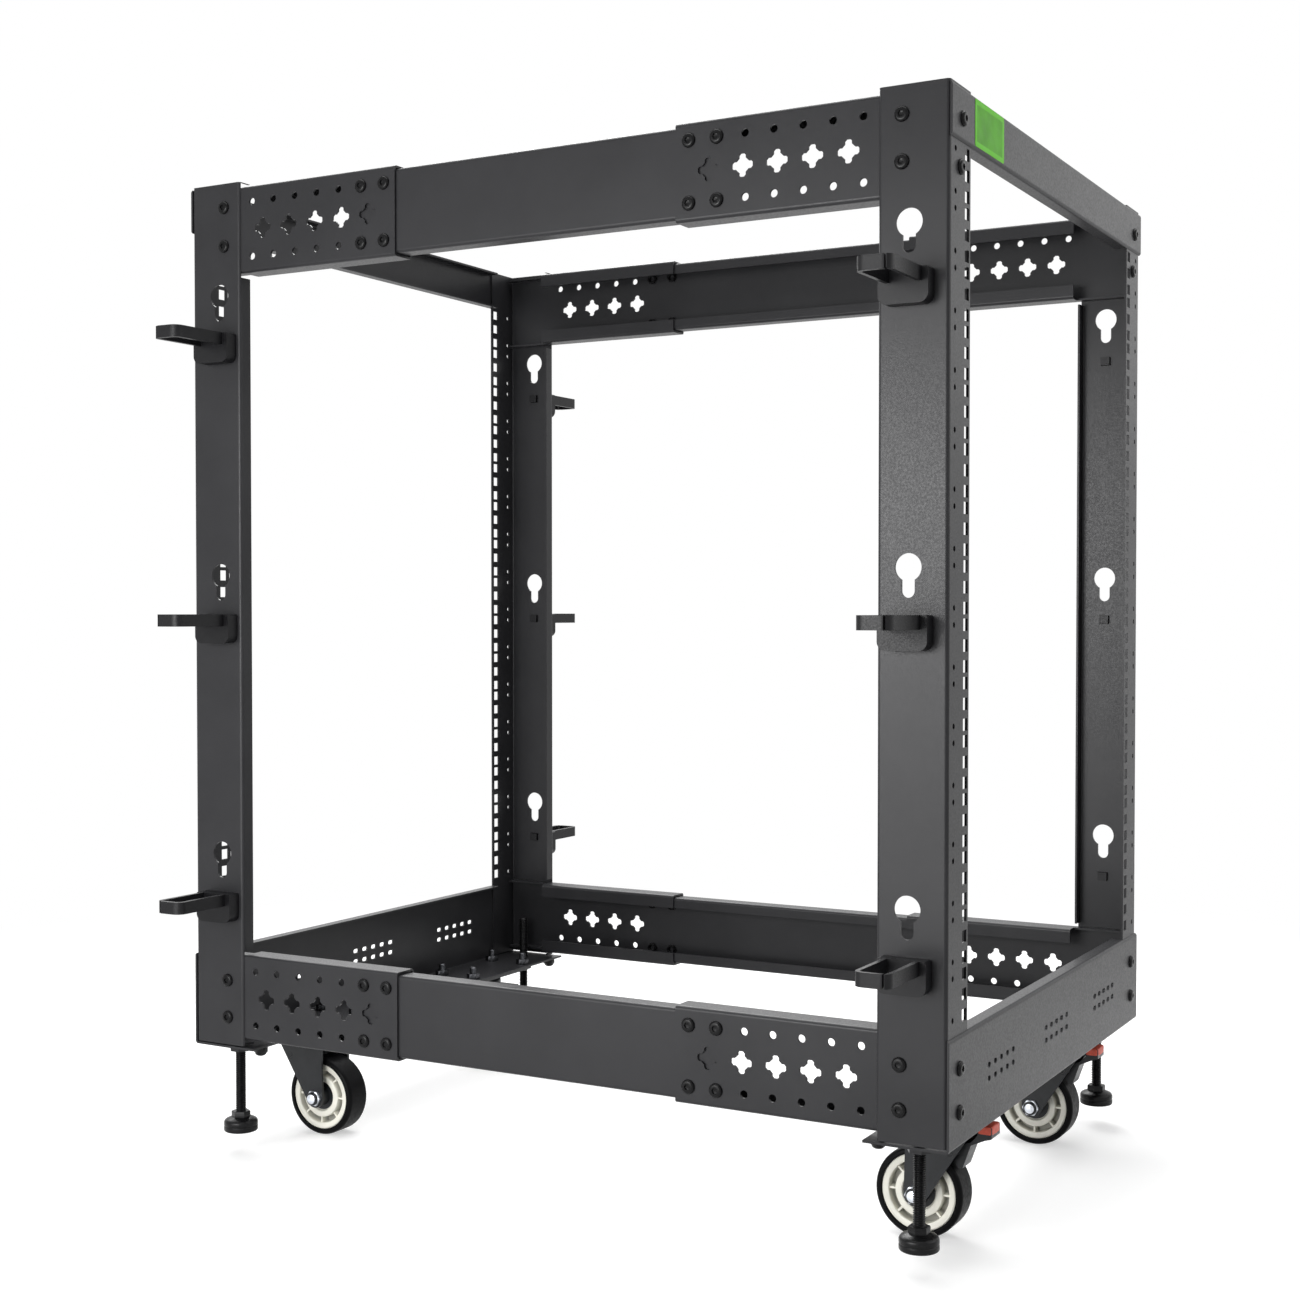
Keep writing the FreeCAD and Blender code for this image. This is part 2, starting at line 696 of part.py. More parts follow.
end_pieces = {
    "top_crossbar": make_top_crossbar(),
    "bottom_crossbar": make_bottom_crossbar(),
    "crossbar_bolts": make_bolt_heads(),
}
for piece, shape in end_pieces.items():
    for end in ("front", "rear"):
        save(piece + "_" + end, at_corner(shape, "left", end))

for level, centre in (("top", top_rail_centre), ("bottom", bottom_rail_centre)):
    for side in ("left", "right"):
        save(level + "_centre_rail_" + side, at_corner(make_centre_rail(centre), side, "front"))
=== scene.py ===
import math

import bmesh
import bpy
import numpy as np
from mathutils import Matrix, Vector


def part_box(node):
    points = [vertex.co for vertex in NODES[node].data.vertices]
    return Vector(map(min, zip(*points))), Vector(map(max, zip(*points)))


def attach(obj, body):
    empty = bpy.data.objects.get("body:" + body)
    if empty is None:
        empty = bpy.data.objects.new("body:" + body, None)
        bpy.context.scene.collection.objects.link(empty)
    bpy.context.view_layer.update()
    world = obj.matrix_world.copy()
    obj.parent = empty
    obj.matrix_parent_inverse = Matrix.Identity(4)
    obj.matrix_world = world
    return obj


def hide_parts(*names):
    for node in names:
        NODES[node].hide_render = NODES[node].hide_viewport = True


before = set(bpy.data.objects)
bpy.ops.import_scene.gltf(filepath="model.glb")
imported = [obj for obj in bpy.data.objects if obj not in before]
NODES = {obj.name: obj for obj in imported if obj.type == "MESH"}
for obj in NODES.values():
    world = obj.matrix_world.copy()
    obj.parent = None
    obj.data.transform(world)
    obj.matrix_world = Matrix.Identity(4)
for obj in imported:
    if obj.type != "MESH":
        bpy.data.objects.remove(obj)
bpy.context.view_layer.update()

bl_info = {
    "name": "Four post open frame rack",
    "version": (1, 0, 0),
    "blender": (4, 5, 0),
    "location": "View3D > Sidebar > Rack",
    "description": "Bolts, feet, wheels, finishes and stage of a four post open frame rack",
    "category": "Add Mesh",
}

MM = 0.001
SIDES = {"left": -1, "right": 1}
ENDS = {"front": -1, "rear": 1}
CORNERS = [(end, side) for end in ENDS for side in SIDES]
UP = (0.0, 0.0, 1.0)
DOWN = (0.0, 0.0, -1.0)

# Faces of the frame, read from the solids: the rack is the same left to right and front to rear.
WEB_FACE = -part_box("post_front_left")[0].x
FLANGE_FACE = -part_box("post_front_left")[0].y
POST_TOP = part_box("post_front_left")[1].z
BAR_FACE = -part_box("bottom_crossbar_front")[0].y
FLANGE_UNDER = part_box("caster_plate_front_left")[1].z
BRACKET_FACE = -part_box("top_bracket_front_left")[0].x
RAIL_CENTRES = [sum(corner.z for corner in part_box(level + "_centre_rail_left")) / 2
                for level in ("bottom", "top")]
SHEET = 2.0 * MM
CASTER_PLATE = 2.5 * MM

# Places of the bolts and the label: back from the post's flange face, in from its web face, and levels as
# heights over the floor
WEB_BOLT_BACK = 38.0 * MM
WEB_BOLT_LEVELS = (POST_TOP - 22.0 * MM, POST_TOP - 57.5 * MM, 167.0 * MM, 132.5 * MM)
FLANGE_BOLT_IN = 23.0 * MM
FLANGE_BOLT_LEVEL = POST_TOP - 61.0 * MM
BAR_BOLT_LEVELS = (POST_TOP - 25.2 * MM, FLANGE_UNDER + 60.5 * MM, FLANGE_UNDER + 27.0 * MM)
RAIL_BOLT_BACKS = (195.0 * MM, 220.0 * MM)
RAIL_BOLT_ROWS = (-25.0 * MM, 25.0 * MM)
RAIL_NUT_IN = 4.0 * MM
PLATE_BOLT_IN = 7.5 * MM
PLATE_BOLT_BACK = 10.0 * MM
POST_NUT_IN = 18.0 * MM
POST_NUT_BACK = 62.0 * MM
LABEL_ALONG = -187.0 * MM

# Lamps: name, place, target, size, power in watts, and whether it is for the sheen only
LAMPS = (
    ("side_softbox", (-1.5, 0.25, 0.5), (0.0, 0.05, 0.4), (1.2, 1.0), 20.0, False),
    ("front_softbox", (0.3, -1.5, 1.0), (0.0, 0.0, 0.5), (1.4, 0.8), 6.0, False),
    ("overhead_softbox", (0.2, 0.0, 2.8), (0.0, 0.0, 0.4), (2.6, 2.6), 75.0, False),
    ("side_panel", (-1.5, 0.15, 0.66), (-0.27, -0.34, 0.58), (0.42, 0.3), 7.0, True),
    ("right_panel", (2.4, -1.15, 1.3), (0.0, -0.37, 0.8), (0.6, 0.8), 1.2, True),
    ("rear_softbox", (1.3, 2.0, 2.1), (0.0, 0.0, 0.5), (2.2, 1.4), 38.0, False),
    ("right_softbox", (1.8, 1.0, 2.1), (0.0, 0.0, 0.45), (1.4, 1.2), 34.0, False),
)
WHITE = (1.0, 1.0, 1.0, 1.0)
WORLD_LIGHT = 0.08

# Floor: how far it reaches, where it starts and ends to go over to white, and its diffuse tone and glow
# to the eye and diffuse tone to bounced light, as parts of the floor's colour
FLOOR_REACH = 30.0
FADE_START = 0.8
FADE_END = 1.6
FLOOR_TONE = 0.7
FLOOR_GLOW = 0.55
FLOOR_BOUNCE = 0.45

# Camera: its place, its turn from the front and its tilt down in radians, and its focal length in pixels
# of a frame that has 1308 of them along its longer side
CAMERA_PLACE = (-1.58951, -0.85342, 0.51073)
CAMERA_TURN = 1.0619
CAMERA_DOWN = 0.0229
SENSOR_WIDTH = 36.0
FOCAL_PIXELS = 1863.99
FRAME_PIXELS = 1308.0


def linear(hex_colour):
    """An sRGB hex colour as linear red, green, blue and alpha, by the sRGB curve."""
    channels = np.array([int(hex_colour[start:start + 2], 16) / 255 for start in (1, 3, 5)])
    curved = np.where(channels <= 0.04045, channels / 12.92, ((channels + 0.055) / 1.055) ** 2.4)
    return tuple(float(channel) for channel in curved) + (1.0,)


def per_mm(size):
    """The scale of a noise pattern on Object coordinates whose grains are that many millimetres."""
    return 1.0 / (size * MM)


# Sizes and colours that a user would change

def length(name, description, millimetres):
    """A length property, given in millimetres."""
    return bpy.props.FloatProperty(
        name=name, description=description, default=millimetres * MM, min=0.0, unit="LENGTH", precision=4)


def colour(name, description, hex_colour):
    """A colour property, given as sRGB hex."""
    return bpy.props.FloatVectorProperty(
        name=name, description=description, default=linear(hex_colour), size=4, min=0.0, max=1.0,
        subtype="COLOR")


class RackSizes(bpy.types.PropertyGroup):
    """Sizes of the bolts, feet, wheels and pads."""

    head_radius: length("Bolt head radius", "Radius of the domed socket heads", 6.0)
    head_height: length("Bolt head height", "How far a domed head stands up", 2.7)
    socket_flats: length("Socket flats", "Across the flats of a head's hexagon socket", 4.4)
    nut_flats: length("Nut flats", "Across the flats of the plate nuts", 12.5)
    thread_pitch: length("Thread pitch", "Rise of the foot thread in one turn", 1.75)
    thread_depth: length("Thread depth", "From the crest to the root of the foot thread", 0.95)
    axle_nut_flats: length("Axle nut flats", "Across the flats of the domed axle nuts", 13.0)
    hub_pockets: bpy.props.IntProperty(
        name="Hub pockets", description="Pockets in the ring groove of a hub's face", default=8,
        min=3, max=16)
    pad_margin: length("Pad margin", "How much the red pad is larger than the lever under it", 0.5)
    label_width: length("Label width", "Width of the plain label on the top crossbar", 68.0)
    label_height: length("Label height", "Height of the plain label", 36.0)


class RackColours(bpy.types.PropertyGroup):
    """Colours of the finishes."""

    coat: colour("Powder coat", "Dark grey powder coat of the sheets", "#2d2d2f")
    coat_dark: colour("Powder coat, dark", "Darker patches of the powder coat", "#28282a")
    bolt: colour("Bolts", "Blackened steel of the bolts", "#0d0d0e")
    foot: colour("Feet", "Blackened steel of the levelling feet", "#0f0f10")
    fork: colour("Fork paint", "Black paint of forks, plates and levers", "#1d1f22")
    ring: colour("Ring plastic", "Moulded black plastic of the cable rings", "#101012")
    hub: colour("Hub plastic", "Cream moulded plastic of the hubs", "#f8f6ea")
    tyre: colour("Tyre", "Black polyurethane tyres", "#070708")
    axle: colour("Axle nuts", "Bright plated axle nuts", "#dde1e8")
    stud: colour("Studs", "Dark plated studs and nuts of the plates", "#4b4c4f")
    pad: colour("Pad", "Orange red rubber of the brake pads", "#e05c46")
    label: colour("Label", "Green printed film of the label", "#66bd33")
    floor: colour("Floor", "Pale floor and backdrop", "#f4f4f4")


# Surfaces

def grid_faces(rows, columns, wrap_rows=False):
    """Corner numbers of the quads of a grid whose columns close on themselves, row after row."""
    row = np.arange(rows if wrap_rows else rows - 1)[:, None]
    column = np.arange(columns)[None, :]
    after_row = (row + 1) % rows
    after_column = (column + 1) % columns
    corners = (row * columns + column, row * columns + after_column,
               after_row * columns + after_column, after_row * columns + column)
    return np.stack(np.broadcast_arrays(*corners), -1).reshape(-1, 4)


def around(columns):
    """Angles of one turn, without the last, which is the first again."""
    return np.arange(columns) * (2 * np.pi / columns)


def turned(radius, height, columns, wrap_rows=False):
    """At angle t, the profile's point (r, h) goes to (r cos t, r sin t, h). r or h may change with t."""
    angle = around(columns)[None, :]
    radius = np.broadcast_to(np.asarray(radius, float).reshape(len(radius), -1), (len(radius), columns))
    height = np.broadcast_to(np.asarray(height, float).reshape(len(height), -1), (len(height), columns))
    points = np.stack([radius * np.cos(angle), radius * np.sin(angle), height], -1)
    return points.reshape(-1, 3), grid_faces(len(radius), columns, wrap_rows)


def hexagon(flats, columns):
    """Distance from the middle to a hexagon's side at each angle: half the flats over cos(t mod 60 - 30)."""
    angle = around(columns)
    return flats / 2 / np.cos(np.mod(angle, np.pi / 3) - np.pi / 6)


def soft_step(value):
    """0 below 0, 1 above 1, and 3x^2 - 2x^3 between."""
    value = np.clip(value, 0.0, 1.0)
    return value * value * (3 - 2 * value)


def rounded(points, radius, steps):
    """An open profile line with each inner corner cut by a curve: the corner pulls a quadratic arc. The
    curve keeps to less than half of each side of the corner."""
    points = np.asarray(points, float)
    before, corner, after = points[:-2], points[1:-1], points[2:]
    back = before - corner
    ahead = after - corner
    back_length = np.linalg.norm(back, axis=1, keepdims=True)
    ahead_length = np.linalg.norm(ahead, axis=1, keepdims=True)
    reach = np.minimum(np.minimum(back_length, ahead_length) * 0.45, np.asarray(radius).reshape(-1, 1))
    start = corner + back / back_length * reach
    end = corner + ahead / ahead_length * reach
    s = np.linspace(0, 1, steps)[None, :, None]
    arcs = (1 - s) ** 2 * start[:, None] + 2 * s * (1 - s) * corner[:, None] + s ** 2 * end[:, None]
    return np.concatenate([points[:1], arcs.reshape(-1, 2), points[-1:]])


def copies(shape, places, outward):
    """The shape repeated at each place, its own z turned to that place's outward direction: a point goes
    to the place plus the sum of its coordinates times across, upward and outward."""
    points, quads = shape
    places = np.asarray(places, float)
    outward = np.asarray(outward, float)
    helper = np.where(np.abs(outward[:, 2:]) < 0.5, [[0.0, 0.0, 1.0]], [[0.0, 1.0, 0.0]])
    across = np.cross(helper, outward)
    upward = np.cross(outward, across)
    basis = np.stack([across, upward, outward], 1)
    moved = places[:, None, :] + np.einsum("pk,nkj->npj", points, basis)
    shift = np.arange(len(places))[:, None, None] * len(points)
    return moved.reshape(-1, 3), (quads[None] + shift).reshape(-1, 4)


def joined(*shapes):
    """Several shapes as one: their points in a row, and their corner numbers moved on."""
    starts = np.cumsum([0] + [len(points) for points, quads in shapes[:-1]])
    points = np.concatenate([points for points, quads in shapes])
    quads = np.concatenate([quads + start for (points, quads), start in zip(shapes, starts)])
    return points, quads


def make_piece(name, shape, material, body, crease=32.0):
    """A mesh object from a shape: doubles merged, normals outward, smooth but for creases over an angle."""
    points, quads = shape
    mesh = bpy.data.meshes.new(name)
    mesh.from_pydata(points.tolist(), [], quads.tolist())
    work = bmesh.new()
    work.from_mesh(mesh)
    bmesh.ops.remove_doubles(work, verts=work.verts, dist=2e-6)
    bmesh.ops.dissolve_degenerate(work, edges=work.edges, dist=1e-6)
    bmesh.ops.recalc_face_normals(work, faces=work.faces)
    work.to_mesh(mesh)
    work.free()
    mesh.polygons.foreach_set("use_smooth", np.ones(len(mesh.polygons), bool))
    mesh.set_sharp_from_angle(angle=math.radians(crease))
    mesh.materials.append(material)
    piece = bpy.data.objects.new(name, mesh)
    bpy.context.scene.collection.objects.link(piece)
    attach(piece, body)
    return piece


def mirrored(inward, back, height):
    """The four places of a point, given in metres from the web face, the flange face and the floor."""
    return [(SIDES[side] * (WEB_FACE - inward), ENDS[end] * (FLANGE_FACE - back), height)
            for end, side in CORNERS]


def sideways(places):
    """For each place, the direction along x away from the middle of the rack."""
    return [(math.copysign(1.0, x), 0.0, 0.0) for x, y, z in places]


# Materials

def add_node(tree, kind, links=None, **settings):
    """Adds a shader node: settings are its own properties or inputs, links are input to socket."""
    made = tree.nodes.new(kind)
    for key, value in settings.items():
        if hasattr(made, key):
            setattr(made, key, value)
        else:
            made.inputs[key.replace("_", " ")].default_value = value
    for key, socket in (links or {}).items():
        tree.links.new(socket, made.inputs[key])
    return made


def shade(tone, factor):
    """A colour made lighter or darker by a factor."""
    return tuple(min(channel * factor, 1.0) for channel in tone[:3]) + (1.0,)


def make_finish(name, light, dark, mottle, grain, roughness, bump, stretch=(1.0, 1.0, 1.0), **values):
    """A finish in two layers on Object coordinates: a mottle, in mm, goes between two colours, and a
    grain, in mm, moves the roughness between two values and stands up as bumps of a depth in mm."""
    known = bpy.data.materials.get(name)
    if known is not None:
        return known
    material = bpy.data.materials.new(name)
    material.use_nodes = True
    tree = material.node_tree
    shader = tree.nodes["Principled BSDF"]
    for key, value in values.items():
        shader.inputs[key.replace("_", " ")].default_value = value
    place = add_node(tree, "ShaderNodeTexCoord")
    turned_place = add_node(tree, "ShaderNodeMapping", {"Vector": place.outputs["Object"]}, Scale=stretch)
    where = {"Vector": turned_place.outputs["Vector"]}
    patches = add_node(tree, "ShaderNodeTexNoise", where, Scale=per_mm(mottle), Detail=4.0)
    grains = add_node(tree, "ShaderNodeTexNoise", where, Scale=per_mm(grain), Detail=3.0)
    amount = add_node(tree, "ShaderNodeMapRange", {"Value": patches.outputs["Fac"]},
                      From_Min=0.35, From_Max=0.65)
    tone = add_node(tree, "ShaderNodeMix", {0: amount.outputs["Result"]}, data_type="RGBA")
    tone.inputs[6].default_value = dark
    tone.inputs[7].default_value = light
    rough = add_node(tree, "ShaderNodeMapRange", {"Value": grains.outputs["Fac"]},
                     From_Min=0.35, From_Max=0.65, To_Min=roughness[0], To_Max=roughness[1])
    relief = add_node(tree, "ShaderNodeBump", {"Height": grains.outputs["Fac"]},
                      Strength=0.5, Distance=bump * MM)
    tree.links.new(tone.outputs[2], shader.inputs["Base Color"])
    tree.links.new(rough.outputs["Result"], shader.inputs["Roughness"])
    tree.links.new(relief.outputs["Normal"], shader.inputs["Normal"])
    return material


def powder_coated_sheet(colours):
    """Cold rolled steel sheet, powder coated with a fine texture: matt dark grey with a soft broad sheen
    and a small sparkle. The real grain is about 0.4 mm and is drawn at 1.6 mm, so that it shows."""
    return make_finish("powder_coated_steel_sheet", colours.coat, colours.coat_dark,
                       mottle=60.0, grain=1.6, roughness=(0.31, 0.42), bump=0.03,
                       IOR=1.5, Specular_IOR_Level=0.2)


def blackened_bolt_steel(colours):
    """Alloy steel, blackened in a hot bath and oiled: near black with a small sharp highlight."""
    return make_finish("black_oxide_alloy_steel", shade(colours.bolt, 1.5), colours.bolt,
                       mottle=3.0, grain=0.9, roughness=(0.2, 0.32), bump=0.02,
                       IOR=1.5, Specular_IOR_Level=0.14)


def blackened_foot_steel(colours):
    """Free cutting steel, turned and blackened: near black, with faint turning marks round the pad. The
    marks are finer than 0.2 mm and are drawn at 1 mm."""
    return make_finish("black_turned_steel", shade(colours.foot, 1.4), colours.foot,
                       mottle=6.0, grain=4.0, roughness=(0.26, 0.4), bump=0.03,
                       stretch=(1.0, 1.0, 4.0), IOR=1.5, Specular_IOR_Level=0.16)


def painted_fork_steel(colours):
    """Pressed steel, dipped in black paint: smooth and slightly glossy with a faint orange peel."""
    return make_finish("black_painted_pressed_steel", colours.fork, shade(colours.fork, 0.7),
                       mottle=9.0, grain=4.0, roughness=(0.28, 0.4), bump=0.05,
                       IOR=1.5, Specular_IOR_Level=0.3)


def moulded_ring_plastic(colours):
    """Nylon, injection moulded in a lightly spark eroded mould: black with a broad satin sheen."""
    return make_finish("moulded_black_nylon", shade(colours.ring, 1.3), colours.ring,
                       mottle=12.0, grain=1.4, roughness=(0.34, 0.48), bump=0.03,
                       IOR=1.53, Specular_IOR_Level=0.18)


def moulded_hub_plastic(colours, across):
    """Polypropylene, injection moulded: cream and a little waxy, with painted shade that turns it greyer down
    in the pockets, by the distance of a point from the wheel's middle plane, whose distance from x = 0 is
    given."""
    known = bpy.data.materials.get("moulded_cream_polypropylene")
    if known is not None:
        return known
    material = make_finish("moulded_cream_polypropylene", colours.hub, shade(colours.hub, 0.93),
                           mottle=14.0, grain=2.0, roughness=(0.3, 0.42), bump=0.02,
                           IOR=1.49)
    tree = material.node_tree
    shader = tree.nodes["Principled BSDF"]
    face_tone = shader.inputs["Base Color"].links[0].from_socket
    place = add_node(tree, "ShaderNodeTexCoord")
    axes = add_node(tree, "ShaderNodeSeparateXYZ", {"Vector": place.outputs["Object"]})
    side = add_node(tree, "ShaderNodeMath", {0: axes.outputs[0]}, operation="ABSOLUTE")
    from_middle = add_node(tree, "ShaderNodeMath", {0: side.outputs[0]}, operation="SUBTRACT")
    from_middle.inputs[1].default_value = across
    depth = add_node(tree, "ShaderNodeMath", {0: from_middle.outputs[0]}, operation="ABSOLUTE")
    # Painted shade: within 4 mm of the wheel's middle plane, at the pockets' floors, the cream goes over to
    # 0.38 of itself, and from 10.5 mm out it keeps the face's own tone
    pocket_shade_fade = add_node(tree, "ShaderNodeMapRange", {"Value": depth.outputs[0]},
                     From_Min=4.0 * MM, From_Max=10.5 * MM)
    tone = add_node(tree, "ShaderNodeMix", {0: pocket_shade_fade.outputs["Result"], 7: face_tone}, data_type="RGBA")
    tone.inputs[6].default_value = shade(colours.hub, 0.38)
    tree.links.new(tone.outputs[2], shader.inputs["Base Color"])
    return material


def cast_tyre_rubber(colours):
    """Polyurethane, cast on the rim: black and smooth, with duller patches where it has rolled."""
    return make_finish("cast_black_polyurethane", colours.tyre, shade(colours.tyre, 1.7),
                       mottle=7.0, grain=3.0, roughness=(0.34, 0.5), bump=0.03,
                       IOR=1.5, Specular_IOR_Level=0.06)


def bright_axle_plating(colours):
    """Steel nut, bright nickel plated: pale and slightly frosted, with faint streaks from turning."""
    return make_finish("bright_nickel_plated_steel", colours.axle, shade(colours.axle, 0.8),
                       mottle=5.0, grain=1.2, roughness=(0.36, 0.5), bump=0.01,
                       stretch=(4.0, 1.0, 1.0), Metallic=1.0)


def dark_stud_plating(colours):
    """Steel stud and nut, dark zinc nickel plated: dull grey metal, a little lighter than the sheets."""
    return make_finish("dark_zinc_nickel_plated_steel", colours.stud, shade(colours.stud, 0.75),
                       mottle=4.0, grain=1.2, roughness=(0.34, 0.46), bump=0.02,
                       Metallic=1.0)


def dipped_pad_rubber(colours):
    """Soft PVC, dip moulded over the lever's tip: orange red and matt, a little paler where it is rubbed."""
    return make_finish("dipped_red_pvc", shade(colours.pad, 1.2), colours.pad,
                       mottle=5.0, grain=1.4, roughness=(0.4, 0.54), bump=0.03,
                       IOR=1.52, Specular_IOR_Level=0.4)


def printed_label_film(colours, middle, half):
    """Polypropylene film, printed and glued on: an even green with a paler border and a satin face. The
    border is where a point is within 4 mm of the label's edge, by its distance from the middle."""
    material = make_finish("printed_green_film", colours.label, shade(colours.label, 0.72),
                           mottle=26.0, grain=6.0, roughness=(0.46, 0.54), bump=0.02,
                           IOR=1.49, Specular_IOR_Level=0.15)
    tree = material.node_tree
    shader = tree.nodes["Principled BSDF"]
    inner_tone = shader.inputs["Base Color"].links[0].from_socket
    place = add_node(tree, "ShaderNodeTexCoord")
    offset = add_node(tree, "ShaderNodeVectorMath", {0: place.outputs["Object"]}, operation="SUBTRACT")
    offset.inputs[1].default_value = tuple(middle)
    reach = add_node(tree, "ShaderNodeVectorMath", {0: offset.outputs[0]}, operation="ABSOLUTE")
    axes = add_node(tree, "ShaderNodeSeparateXYZ", {"Vector": reach.outputs[0]})
    edges = [add_node(tree, "ShaderNodeMapRange", {"Value": axes.outputs[index]},
                      From_Min=half[index] - 4.4 * MM,
                      From_Max=half[index] - 3.6 * MM).outputs["Result"] for index in (0, 2)]
    border = add_node(tree, "ShaderNodeMath", {0: edges[0], 1: edges[1]}, operation="MAXIMUM")
    tone = add_node(tree, "ShaderNodeMix", {0: border.outputs[0], 6: inner_tone}, data_type="RGBA")
    tone.inputs[7].default_value = shade(colours.label, 1.35)
    tree.links.new(tone.outputs[2], shader.inputs["Base Color"])
    return material


def dress(prefixes, material):
    """Gives a material to every CAD node whose name starts with one of the prefixes."""
    dressed = [node for name, node in NODES.items() if name.startswith(prefixes)]
    if not dressed:
        raise RuntimeError("no node starts with " + ", ".join(prefixes))
    for node in dressed:
        for material_slot in node.material_slots:
            material_slot.material = material


# Shapes of the small parts

def socket_head(sizes):
    """Domed socket head: an elliptic dome from the rim up to a flat ring round a hexagon hole."""
    columns = 24
    dome = np.linspace(0, np.pi / 2, 7)
    flat = sizes.head_radius * 0.6
    edge = 0.3 * MM
    sunk = -0.2 * MM
    socket = hexagon(sizes.socket_flats, columns)
    radius = [np.zeros(columns), np.full(columns, sizes.head_radius)]
    height = [sunk, sunk]
    for angle in dome:
        radius.append(np.full(columns, flat + (sizes.head_radius - flat) * math.cos(angle)))
        height.append(edge + (sizes.head_height - edge) * math.sin(angle))
    deep = sizes.head_height * 0.42
    for factor, level in ((1.06, sizes.head_height), (1.0, sizes.head_height - 0.2 * MM), (1.0, deep),
                          (0.0, deep - 0.4 * MM)):
        radius.append(socket * factor)
        height.append(level)
    return turned(np.array(radius), np.array(height), columns)


def hexagon_nut(flats, tall, bore):
    """Hexagon nut: at each level the radius is the least of the hexagon and a cone that cuts its corners,
    with a round bore through it."""
    columns = 36
    side = hexagon(flats, columns)
    rim = flats / 2
    past_corners = rim * 1.16
    cut = 0.45 * MM
    levels = ((bore, 0.0), (rim, 0.0), (past_corners, cut), (past_corners, tall - cut), (rim, tall),
              (bore + 0.5 * MM, tall), (bore, tall - 0.5 * MM))
    radius = np.array([np.minimum(side, limit) for limit, level in levels])
    return turned(radius, np.array([level for limit, level in levels]), columns, wrap_rows=True)


def stud(radius, tall, pitch):
    """Threaded stud end: the radius falls from crest to root and back with the height over the pitch
    less the angle over a turn, and a small cone ends it."""
    columns = 16
    thread_depth = 0.6 * MM
    cone = 1.2 * MM
    height = np.linspace(0, tall, int(tall / pitch * 6))
    phase = np.mod(height[:, None] / pitch - around(columns)[None, :] / (2 * np.pi), 1.0)
    wave = np.abs(2 * phase - 1)
    thread = radius - thread_depth * (1 - wave)
    limit = radius - np.clip(height - (tall - cone), 0, None)[:, None]
    rows = np.concatenate([np.zeros((1, columns)), np.minimum(thread, limit), np.zeros((1, columns))])
    return turned(rows, np.concatenate([[0.0], height, [tall]]), columns)


def domed_nut(flats, base, tall):
    """Domed cap nut: a hexagon with cut corners under an elliptic dome."""
    columns = 36
    side = hexagon(flats, columns)
    rim = flats / 2
    cut_corners = np.minimum(side, rim * 1.13)
    sunk = -0.3 * MM
    dome = np.linspace(0, np.pi / 2, 8)[:-1]
    radius = [side * 0, np.minimum(side, rim), cut_corners, cut_corners, np.full(columns, rim * 0.97)]
    height = [sunk, sunk, 0.4 * MM, base - 0.5 * MM, base]
    for angle in dome:
        radius.append(np.full(columns, rim * 0.95 * math.cos(angle)))
        height.append(base + (tall - base) * math.sin(angle))
    radius.append(side * 0)
    height.append(tall)
    return turned(np.array(radius), np.array(height), columns)


def hub_shape(sizes, rim, half_rim):
    """Hub: one closed profile of (radius, distance from the middle) in mm, both faces alike. A deep ring
    groove in each face is filled up to a level by thin ribs, which leave pockets between them: the fill
    is a soft step on how far the angle is from a pocket's middle, as a part of the turn it takes."""
    columns = sizes.hub_pockets * 24
    groove_level = 5.0
    rib_level = 10.6
    rib_start = 0.40
    rib_slope = 0.05
    face = np.array([
        (4.15, 9.2), (6.0, 9.2), (8.0, 9.2), (10.0, 9.2), (12.0, 9.2), (13.8, 9.2),
        (14.2, 9.6), (14.6, 11.6), (15.3, 12.1), (19.5, 12.1), (20.1, 11.8), (20.5, 11.2),
        (20.8, 3.4), (21.4, 2.8), (25.1, 2.8), (25.7, 3.4),
        (26.0, 11.4), (26.5, 12.1), (28.2, half_rim), (30.9, half_rim),
        (31.7, half_rim - 0.5), (rim, half_rim - 1.2)])
    level = face[:, 1:]
    turn = np.mod(around(columns) * sizes.hub_pockets / (2 * np.pi), 1.0)
    fill = soft_step((np.abs(turn - 0.5) - rib_start) / rib_slope)
    depth = level + (level < groove_level) * fill[None, :] * (rib_level - level)
    radius = np.concatenate([face[:, 0], face[::-1, 0]]) * MM
    height = np.concatenate([depth, -depth[::-1]]) * MM
    return turned(radius, height, columns, wrap_rows=True)


def foot_shape(sizes, low, high, rod_radius):
    """Levelling foot: a turned pad with a seam groove, a hexagon neck and a threaded rod, bottom to top.
    The rod's radius falls from crest to root and back with the height over the pitch less the angle over
    a turn, and a cone ends it."""
    columns = 48
    neck_flats = 15.4 * MM
    neck_top = 18.6
    cone = 1.5 * MM
    side = hexagon(neck_flats, columns)
    pad = rounded([(0, 0), (14.9, 0), (15.8, 0.9), (15.8, 4.4), (15.3, 4.9), (15.3, 5.5), (15.8, 6.0),
                   (15.8, 9.2), (14.4, 11.0), (9.6, 13.0)],
                  radius=[0.6, 0.6, 0.2, 0.2, 0.2, 0.2, 1.6, 2.0], steps=4) * MM
    neck = ((1.0, 13.4), (1.0, 17.8), (0.94, neck_top))
    pitch = sizes.thread_pitch
    height = np.arange(neck_top * MM, high - low, pitch / 6)
    phase = np.mod(height[:, None] / pitch - around(columns)[None, :] / (2 * np.pi), 1.0)
    rod = rod_radius - sizes.thread_depth * (1 - np.abs(2 * phase - 1))
    taper = rod_radius - np.clip(height - (high - low - cone), 0, None)[:, None]
    radius = np.concatenate([
        np.repeat(pad[:, :1], columns, 1), [side * factor for factor, level in neck],
        np.minimum(rod, taper), np.zeros((1, columns))])
    height = np.concatenate([pad[:, 1], [level * MM for factor, level in neck], height, [high - low]])
    return turned(radius, height, columns)


